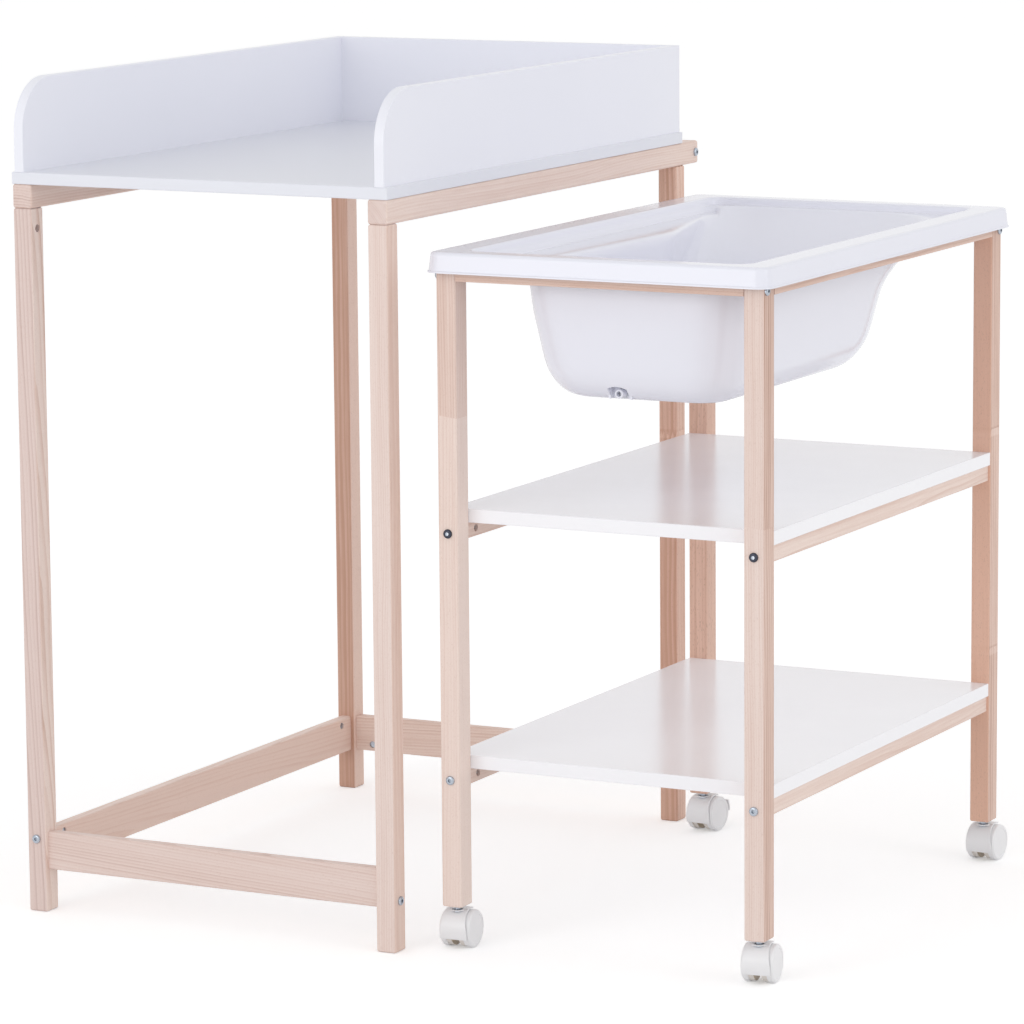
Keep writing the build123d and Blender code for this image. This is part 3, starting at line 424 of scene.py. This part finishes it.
def rounded_line(corners, radii):
    """Points round a polygon with rounded corners, as many on each stretch from the middle of one
    corner to the middle of the next as the stretches say, so that such lines can be joined."""
    corners, arcs = [Vector(corner) for corner in corners], []
    for place, (here, radius) in enumerate(zip(corners, radii)):
        back = (corners[place - 1] - here).normalized()
        forth = (corners[(place + 1) % len(corners)] - here).normalized()
        if radius == 0:
            arcs.append([here] * (arc_steps + 1))
            continue
        half = back.angle(forth) / 2
        middle = here + (back + forth).normalized() * (radius / sin(half))
        start = here + back * (radius / tan(half)) - middle
        end = here + forth * (radius / tan(half)) - middle
        turn = atan2(start.x * end.y - start.y * end.x, start.dot(end)) / arc_steps
        arcs.append([middle + Matrix.Rotation(turn * step, 2) @ start for step in range(arc_steps + 1)])
    line, half_way = [], arc_steps // 2
    for place, count in enumerate(stretches):
        run = arcs[place][half_way:] + arcs[(place + 1) % len(arcs)][: half_way + 1]
        lengths = [0.0]
        for one, other in zip(run, run[1:]):
            lengths.append(lengths[-1] + (other - one).length)
        for step in range(count):
            aim = lengths[-1] * step / count
            spot = max(k for k in range(len(run) - 1) if lengths[k] <= aim)
            share = (aim - lengths[spot]) / max(lengths[spot + 1] - lengths[spot], 1e-9)
            line.append(run[spot].lerp(run[spot + 1], share))
    return line


def rim_line(side, end, radius):
    """The tub's outline drawn in from its sides and its ends."""
    left, right, front, rear = side, tub_width - side, end, tub_length - end
    corners = ((left, front), (left, waist), (left, neck), (left, rear), (right, rear), (right, front))
    return rounded_line(corners, (radius, 0, 0, radius, radius, radius))


def basin_line(sides, bends, radii, grow=0.0):
    """The basin's outline at one height. Its left side steps in at the waist and out at the neck."""
    left, right, front, rear = sides
    left_waist, low_waist, left_neck, low_neck = bends
    corners = (
        (left - grow, front - grow),
        (left_waist - grow, low_waist),
        (left_neck - grow, low_neck),
        (left_neck - grow, rear + grow),
        (right + grow, rear + grow),
        (right + grow, front - grow),
    )
    front_round, left_round, right_round = [radius + grow for radius in radii]
    bend_rounds = (waist_round - grow, waist_round + grow)
    return rounded_line(corners, (front_round, *bend_rounds, left_round, right_round, front_round))


def smooth(value):
    value = min(max(value, 0.0), 1.0)
    return value * value * (3 - 2 * value)


# Basin outlines from the top down: the sides, the bends of the left side and the corners' radii.
mouth, mouth_height = ((98, 412.5, 46, 768), (119.5, waist, 67.5, neck), (58, 46, 125)), -14
knee, knee_height = ((104, 404, 51, 645), (125, 450, 100, 545), (58, 60, 145)), -76.5
toe, toe_height = ((120, 393, 60, 614), (137, 430, 118, 525), (56, 60, 140)), -154.5
foot, foot_height = ((136, 378, 76, 565), (152, 412, 136, 475), (50, 60, 110)), -185.0
mouth_round, foot_round = 4, 18
drain_middle, drain_height, drain_radius, drain_sides = 236, -179.5, 4.5, 32
# The drain's arches: width, foot, shoulder and crown, and the front and back planes of each cut.
boss_arch, boss_planes = (33, -186.5, -170.5, -166.2), (79, 91)
pocket_arch, pocket_planes, hole_planes = (27, -190, -172.5, -169.2), (60, 88), (86, 94)
ledge, tray, tray_slope, tray_round = 10.0, 8.0, 6.5, 20
tray_middle, tray_half = Vector((89, 391.75)), Vector((45.5, 357.25))


def ledge_height(point):
    """The ledge's height at a point: it lies lower where the soap tray is."""
    away = point - tray_middle
    away = Vector((abs(away.x), abs(away.y))) - tray_half + Vector((tray_round, tray_round))
    inside = tray_round - Vector((max(away.x, 0), max(away.y, 0))).length - min(max(away.x, away.y), 0)
    return -ledge - tray * smooth(inside / tray_slope)


# Rings of points from the skirt's foot to the basin's floor. First the skirt and the rim's rounded edge.
outer_round, edge_round, edge_lean, edge_steps = 16, 4.5, 0.5, 6
flat_start, flat_round = 5.8, 11
profile = [(-lip, -26.5), (-lip, -25.2), (-4.2, -24.6), (-3.4, -24.2), (-2.7, -23.6), (-2.5, -22), (-0.9, -8)]
for step in range(edge_steps + 1):
    turn = radians(90 * step / edge_steps)
    inset = edge_round * (1 - cos(turn)) - edge_lean * (1 - sin(turn))
    profile.append((inset, -edge_round * (1 - sin(turn))))
rings = [[(point, height) for point in rim_line(inset, inset, outer_round - inset)] for inset, height in profile]
rings.append([(point, 0.0) for point in rim_line(flat_start, flat_start, flat_round)])

# The rim's flat top, its bend down and the hollow where it meets the ledge.
rim_side, rim_end, inner_round = 40.5, 31.5, 22
bend_start, bend_round, bend_angle, bend_steps = -3.72, 5, 73.3, 5
profile = [(-5.0, 0.0), (bend_start, 0.0)]
for step in range(1, bend_steps + 1):
    turn = radians(bend_angle * step / bend_steps)
    profile.append((bend_round * sin(turn) + bend_start, bend_round * cos(turn) - bend_round))
for inset, height in profile:
    line = rim_line(rim_side + inset, rim_end + inset, inner_round - inset)
    rings.append([(point, height) for point in line])
for inset, height in ((1.6, -5.4), (2.3, -7.6), (2.7, -8.8), (3.2, -9.6), (4.0, -10), (5.0, -10)):
    line = rim_line(rim_side + inset, rim_end + inset, inner_round - inset)
    rings.append([(point, height + ledge_height(point) + ledge) for point in line])

# The ledge, as far as the basin's mouth.
ledge_line, mouth_edge = [point for point, height in rings[-1]], basin_line(*mouth, grow=mouth_round)
for share in (0.04, 0.08, 0.13, 0.2, 0.3, 0.42, 0.56, 0.7, 0.82, 0.92, 1):
    line = [one.lerp(other, share) for one, other in zip(ledge_line, mouth_edge)]
    rings.append([(point, ledge_height(point)) for point in line])
soft_from, soft_passes = len(rings) - 3, 10

# The basin: the mouth's rounded edge, the wall to the knee, the wall to the toe and the rounded foot.
mouth_steps, wall_steps, back_steps, foot_steps = 4, 12, 14, 12
tops = [height - mouth_round for point, height in rings[-1]]
mouth_line, knee_line, toe_line = basin_line(*mouth), basin_line(*knee), basin_line(*toe)
for step in range(1, mouth_steps + 1):
    turn = radians(90 - 90 * step / mouth_steps)
    ring = []
    grown = basin_line(*mouth, grow=mouth_round * (1 - cos(turn)))
    for top, wide, high, low in zip(tops, grown, mouth_line, knee_line):
        share = (top - knee_height) / (mouth_height - knee_height)
        ring.append((low.lerp(high, share) + wide - high, top + mouth_round * sin(turn)))
    rings.append(ring)
for step in range(1, wall_steps + 1):
    ring = []
    for top, high, low in zip(tops, mouth_line, knee_line):
        height = top + (knee_height - top) * step / wall_steps
        ring.append((low.lerp(high, (height - knee_height) / (mouth_height - knee_height)), height))
    rings.append(ring)
for step in range(1, back_steps + 1):
    share = step / back_steps
    height = knee_height + (toe_height - knee_height) * share
    rings.append([(high.lerp(low, share), height) for high, low in zip(knee_line, toe_line)])
for step in range(1, foot_steps + 1):
    share = 1 - step / foot_steps
    drawn_in = -foot_round * (1 - share) ** 2
    foot_ring, toe_ring = basin_line(*foot, grow=drawn_in), basin_line(*toe, grow=drawn_in)
    height = foot_height + (toe_height - foot_height) * share**2
    rings.append([(low.lerp(high, share**2), height) for low, high in zip(foot_ring, toe_ring)])

# The kinks between these are softened, as the mould's are.
rings = [[Vector((*point, height)) for point, height in ring] for ring in rings]
for again in range(soft_passes):
    softer = [ring[:] for ring in rings]
    for place in range(soft_from, len(rings) - 1):
        near = zip(rings[place - 1], rings[place], rings[place + 1])
        softer[place] = [(over + here * 2 + under) / 4 for over, here, under in near]
    rings = softer


def walls(around, levels=2):
    """The faces between rings of as many points as around."""
    faces = []
    for ring in range(levels - 1):
        for step in range(around):
            low, high = ring * around + step, ring * around + (step + 1) % around
            faces.append((low, low + around, high + around, high))
    return faces


def prism(outline, front, back):
    """Points and faces of a closed body with an upright outline, from its front to its back plane."""
    count = len(outline)
    points = [(x + drain_middle, y, z) for y in (front, back) for x, z in outline]
    return points, [tuple(range(count)), tuple(reversed(range(count, 2 * count)))] + walls(count)


def arch(width, low, shoulder, crown):
    """The outline of an arch: a flat foot, two upright sides and an arc over them."""
    half, rise = width / 2, crown - shoulder
    radius = (half * half + rise * rise) / (2 * rise)
    spread = asin(half / radius) if rise < half else pi - asin(half / radius)
    outline = [(-half, low), (half, low)]
    for step in range(arc_steps + 1):
        turn = spread * (1 - 2 * step / arc_steps)
        outline.append((radius * sin(turn), crown - radius + radius * cos(turn)))
    return outline


def in_place(name, points, faces):
    """A mesh object from points in millimetres from the tub's left front corner."""
    mesh = bpy.data.meshes.new(name)
    mesh.from_pydata([tub_place + Vector(point) / mm for point in points], [], faces)
    made = bpy.data.objects.new(name, mesh)
    bpy.context.scene.collection.objects.link(made)
    return made


def applied(made):
    """The object with its modifiers made part of its mesh."""
    mesh = bpy.data.meshes.new_from_object(made.evaluated_get(bpy.context.evaluated_depsgraph_get()))
    made.modifiers.clear()
    made.data = mesh
    return made


around = len(rings[0])
floor_face = tuple(reversed(range((len(rings) - 1) * around, len(rings) * around)))
tub = in_place("tub_shell", [point for ring in rings for point in ring], [floor_face] + walls(around, len(rings)))
shell = tub.modifiers.new("wall", "SOLIDIFY")
shell.thickness, shell.offset, shell.use_even_offset = tub_wall / mm, -1, True
tub = applied(tub)

turns = [2 * pi * k / drain_sides for k in range(drain_sides)]
drain_circle = [(drain_radius * cos(turn), drain_radius * sin(turn) + drain_height) for turn in turns]
boss = in_place("drain_boss", *prism(arch(*boss_arch), *boss_planes))
pocket = in_place("drain_pocket", *prism(arch(*pocket_arch), *pocket_planes))
hole = in_place("drain_hole", *prism(drain_circle, *hole_planes))
for cutter, operation in ((boss, "UNION"), (pocket, "DIFFERENCE"), (hole, "DIFFERENCE")):
    cut = tub.modifiers.new("drain", "BOOLEAN")
    cut.object, cut.operation, cut.solver = cutter, operation, "EXACT"
    tub = applied(tub)
    bpy.data.objects.remove(cutter)
tub.data.polygons.foreach_set("use_smooth", [True] * len(tub.data.polygons))
tub.data.set_sharp_from_angle(angle=radians(40))

tub_plastic = moulded("tub_plastic", (0.84, 0.845, 0.925, 1), (0.825, 0.83, 0.91, 1), 0.14, 0.12)
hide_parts("bathtub")
paint(tub, tub_plastic, "tub")
paint(nodes["drain_spigot"], tub_plastic)
drain_rubber = moulded("drain_rubber", (0.62, 0.64, 0.68, 1), (0.58, 0.6, 0.64, 1), 0.5, 0.2)
for node in ("drain_seal", "drain_plug"):
    paint(nodes[node], drain_rubber)


# Fasteners. Zinc-plated M6 bolts, whose domed heads have a hexagon socket, barrel nuts, screws,
# swivel stems, sockets and axles. The plated bolts' hexagon sockets are painted darker, as painted
# shade. The upper shelf's bolt heads are painted near black, as painted shade of the counterbores
# they sit in, with pale sockets as a painted highlight. Each bolt head stands at its own turn.
bright_zinc, shelf_bolt_shade_colour = (0.50, 0.55, 0.62, 1), (0.07, 0.075, 0.10, 1)
bolt_length, shank_radius, head_radius, head_height = 0.058, 0.003, 0.006, 0.0032
socket_half, socket_depth, socket_chamfer = 0.0021, 0.002, 0.0002
end_depth = 0.004


def zinc(name, colour, roughness, socket=(0.36, 0.40, 0.46, 1)):
    finish = Finish(bpy.data.materials.new(name))
    bloom = finish.noise(finish.node("ShaderNodeTexCoord", out="Object"), 160.0, 3.0)
    plate = finish.blend(bloom, colour, [channel * 0.8 for channel in colour[:3]] + [1])
    # Points in the hexagon socket take the socket colour: painted shade, darker than the plate, on the plated
    # bolts, and a painted highlight, paler than the head, on the upper shelf's bolts.
    inside = finish.node("ShaderNodeAttribute", {"attribute_name": "socket"}, None, 2)
    plate = finish.blend(inside, plate, socket)
    return finish.coat(plate, (bloom - 0.5) * 0.2 + roughness, bloom, bump=0.1, depth=0.0001, Metallic=1.0)


def turned(points, around):
    """A smooth mesh from rings of points about Z, closed at both ends, with its sharp edges creased."""
    faces = []
    for ring in range(len(points) // around - 1):
        for step in range(around):
            low, high = ring * around + step, ring * around + (step + 1) % around
            faces.append((low, high, high + around, low + around))
    faces += [tuple(reversed(range(around))), tuple(range(len(points) - around, len(points)))]
    mesh = bpy.data.meshes.new("bolt_pattern")
    mesh.from_pydata(points, [], faces)
    mesh.polygons.foreach_set("use_smooth", [True] * len(mesh.polygons))
    mesh.set_sharp_from_angle(angle=radians(35))
    return mesh


def bolt_model():
    """A bolt with its head's seat at zero, its domed top towards -Z and its shank along +Z."""
    around, sides = 36, 6
    circle = [(cos(2 * pi * k / around), sin(2 * pi * k / around)) for k in range(around)]
    hexagon = []
    for k in range(around):
        turn = 2 * pi * k / around
        reach = cos(pi / sides) / cos(turn % (2 * pi / sides) - pi / sides)
        hexagon.append((cos(turn) * reach, sin(turn) * reach))
    crown, edge = head_radius * 0.58, head_radius * 0.22
    profile = [(shank_radius, bolt_length), (shank_radius, 0), (head_radius, 0), (head_radius, -edge)]
    for step in range(1, 6):
        turn = radians(90 * step / 5)
        out = head_radius - (head_radius - crown) * (1 - cos(turn))
        profile.append((out, -edge - (head_height - edge) * sin(turn)))
    points = [(radius * x, radius * y, z) for radius, z in profile for x, y in circle]
    corner = socket_half / cos(pi / sides)
    bores = ((corner + socket_chamfer, 0), (corner, socket_chamfer), (corner, socket_depth))
    points += [(radius * x, radius * y, deep - head_height) for radius, deep in bores for x, y in hexagon]
    mesh = turned(points, around)
    inside = mesh.attributes.new("socket", "FLOAT", "POINT")
    inside.data.foreach_set("value", [float(place >= len(points) - 2 * around) for place in range(len(points))])
    return bpy.data.objects.new("bolt_pattern", mesh)


def seats_of(node):
    """Where the bolts of a CAD node sit: for each, the head's seat and the way its shank points."""
    mesh = bmesh.new()
    mesh.from_mesh(nodes[node].data)
    bmesh.ops.remove_doubles(mesh, verts=mesh.verts, dist=1e-6)
    left, seats = set(mesh.verts), []
    while left:
        front, island = [left.pop()], []
        while front:
            vertex = front.pop()
            island.append(vertex.co.copy())
            for edge in vertex.link_edges:
                other = edge.other_vert(vertex)
                if other in left:
                    left.remove(other)
                    front.append(other)
        low = Vector([min(point[axis] for point in island) for axis in range(3)])
        high = Vector([max(point[axis] for point in island) for axis in range(3)])
        axis = max(range(3), key=lambda k: (high - low)[k])
        middle = (low + high) / 2
        spread = {}
        for end, face in ((-1, low[axis]), (1, high[axis])):
            near = [(point - middle) for point in island if abs(point[axis] - face) < end_depth]
            spread[end] = max(sum(part[k] ** 2 for k in range(3) if k != axis) for part in near)
        end = max(spread, key=spread.get)
        aim = Vector([0, 0, 0])
        aim[axis] = -end
        seat = middle.copy()
        seat[axis] = (high if end > 0 else low)[axis] - end * head_height
        seats.append((seat, aim))
    mesh.free()
    return sorted(seats, key=lambda pair: tuple(pair[0]))


def copies(name, seats, pattern, finish, seed):
    """One mesh of a model's copies, placed at each seat and turned at random about its own axis."""
    tree = bpy.data.node_groups.new(name, "GeometryNodeTree")
    for label, kind in (("Seats", "Geometry"), ("Model", "Object"), ("Finish", "Material"), ("Seed", "Int")):
        tree.interface.new_socket(label, in_out="INPUT", socket_type="NodeSocket" + kind)
    tree.interface.new_socket("Copies", in_out="OUTPUT", socket_type="NodeSocketGeometry")

    def node(kind, settings=None, **sockets):
        """The first output of a new node."""
        made = tree.nodes.new(kind)
        for key, value in (settings or {}).items():
            setattr(made, key, value)
        for key, value in sockets.items():
            if isinstance(value, bpy.types.NodeSocket):
                tree.links.new(value, made.inputs[key])
            else:
                made.inputs[key].default_value = value
        return made.outputs[0]

    given = tree.nodes.new("NodeGroupInput").outputs
    aim = node("GeometryNodeInputNamedAttribute", {"data_type": "FLOAT_VECTOR"}, Name="aim")
    facing = node("FunctionNodeAlignRotationToVector", {"axis": "Z"}, Vector=aim)
    shape = node("GeometryNodeObjectInfo", None, Object=given["Model"]).node.outputs["Geometry"]
    placed = node("GeometryNodeInstanceOnPoints", None, Points=given["Seats"], Instance=shape, Rotation=facing)
    random = tree.nodes.new("FunctionNodeRandomValue")
    random.data_type = "FLOAT_VECTOR"
    random.inputs[0].default_value, random.inputs[1].default_value = (0, 0, 0), (0, 0, 2 * pi)
    tree.links.new(given["Seed"], random.inputs["Seed"])
    spun = node("GeometryNodeRotateInstances", None, Instances=placed, Rotation=random.outputs[0])
    whole = node("GeometryNodeRealizeInstances", None, Geometry=spun)
    dressed = node("GeometryNodeSetMaterial", None, Geometry=whole, Material=given["Finish"])
    tree.links.new(dressed, tree.nodes.new("NodeGroupOutput").inputs[0])

    points = bpy.data.meshes.new(name + "_seats")
    points.from_pydata([seat for seat, aim in seats], [], [])
    ways = points.attributes.new("aim", "FLOAT_VECTOR", "POINT")
    ways.data.foreach_set("vector", [part for seat, aim in seats for part in aim])
    carrier = bpy.data.objects.new(name + "_seats", points)
    bpy.context.scene.collection.objects.link(carrier)
    modifier = carrier.modifiers.new("copies", "NODES")
    modifier.node_group = tree
    for item in tree.interface.items_tree:
        if item.in_out == "INPUT" and item.name != "Seats":
            modifier[item.identifier] = {"Model": pattern, "Finish": finish.owner, "Seed": seed}[item.name]
    ready = carrier.evaluated_get(bpy.context.evaluated_depsgraph_get())
    mesh = bpy.data.meshes.new_from_object(ready)
    bpy.data.objects.remove(carrier)
    made = bpy.data.objects.new(name, mesh)
    bpy.context.scene.collection.objects.link(made)
    return made


plated = zinc("zinc_plate", bright_zinc, 0.26)
# The upper shelf's bolt heads: painted shade, near black, with a painted highlight in the socket.
shelf_bolt_painted_shade = zinc("shelf_zinc_painted_shade", shelf_bolt_shade_colour, 0.36, (0.72, 0.76, 0.82, 1))
for node in nodes:
    if node.endswith(("barrel_nuts", "screws", "sockets", "stems")) or node.startswith("caster_axle"):
        paint(nodes[node], plated)

pattern = bolt_model()
bpy.context.scene.collection.objects.link(pattern)
shelf_height, shelf_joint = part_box("upper_shelf")[0].z, 0.1
cart_seats = seats_of("cart_bolts")
shelf_seats = [pair for pair in cart_seats if abs(pair[0].z - shelf_height) < shelf_joint]
frame_seats = [pair for pair in cart_seats if abs(pair[0].z - shelf_height) >= shelf_joint]
for name, seats, finish, seed, body, node in (
    ("table_bolt_heads", seats_of("table_bolts"), plated, 7, "table", "table_bolts"),
    ("cart_bolt_heads", frame_seats, plated, 11, "cart", "cart_bolts"),
    ("shelf_bolt_heads", shelf_seats, shelf_bolt_painted_shade, 13, "cart", "cart_bolts"),
):
    bolts = copies(name, seats, pattern, finish, seed)
    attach(bolts, body)
    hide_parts(node)
bpy.data.objects.remove(pattern)


# Casters. Moulded nylon: a hood with the swivel stem's boss, two wheels that are white outside and
# tan towards the caster's middle, but for their white treads, and on the rear left caster a brake pedal.
white_nylon, shaded_nylon = (0.86, 0.855, 0.87, 1), (0.83, 0.825, 0.84, 1)
tread_nylon, pale_tread = (0.84, 0.835, 0.85, 1), (0.87, 0.865, 0.88, 1)
middle_tan, pale_middle_tan = (0.62, 0.50, 0.36, 1), (0.68, 0.57, 0.43, 1)
tan_half_squared, tread_start, tread_end = (150, 160), 23.2, 24.4

nylon = moulded("nylon", white_nylon, shaded_nylon, 0.3, 0.1)
for node in nodes:
    if node.startswith("caster_hood") or node == "brake_lever":
        paint(nodes[node], nylon)


def wheel_nylon(corner):
    """Nylon of one caster's wheels: tan between their middles, but for the tread, and white outside."""
    finish = Finish(bpy.data.materials.new("wheel_nylon_" + corner))
    middles = [sum(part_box(f"wheel_{corner}_{side}"), Vector()) / 2 for side in ("left", "right")]
    axle, centre = (middles[0] - middles[1]).normalized(), (middles[0] + middles[1]) / 2
    point = finish.node("ShaderNodeTexCoord", out="Object")
    away = finish.node("ShaderNodeVectorMath", {"operation": "SUBTRACT"}, {0: point, 1: centre})
    along = finish.node("ShaderNodeVectorMath", {"operation": "DOT_PRODUCT"}, {0: away, 1: axle}, 1) * mm
    reach = finish.node("ShaderNodeVectorMath", {"operation": "LENGTH"}, {0: away}, 1) * mm
    inner = 1 - finish.step(along * along, *tan_half_squared)
    tan_share = inner * (1 - finish.step(reach, tread_start, tread_end) * 0.6)
    flow = finish.noise(point, 60.0, 2.0)
    outside, inside = finish.blend(flow, tread_nylon, pale_tread), finish.blend(flow, middle_tan, pale_middle_tan)
    sheen = (flow - 0.5) * 0.1 + 0.32
    return finish.coat(finish.blend(tan_share, outside, inside), sheen, flow, bump=0.1, depth=0.0002)


for corner in ("front_left", "front_right", "rear_left", "rear_right"):
    finish = wheel_nylon(corner)
    for side in ("left", "right"):
        paint(nodes[f"wheel_{corner}_{side}"], finish)
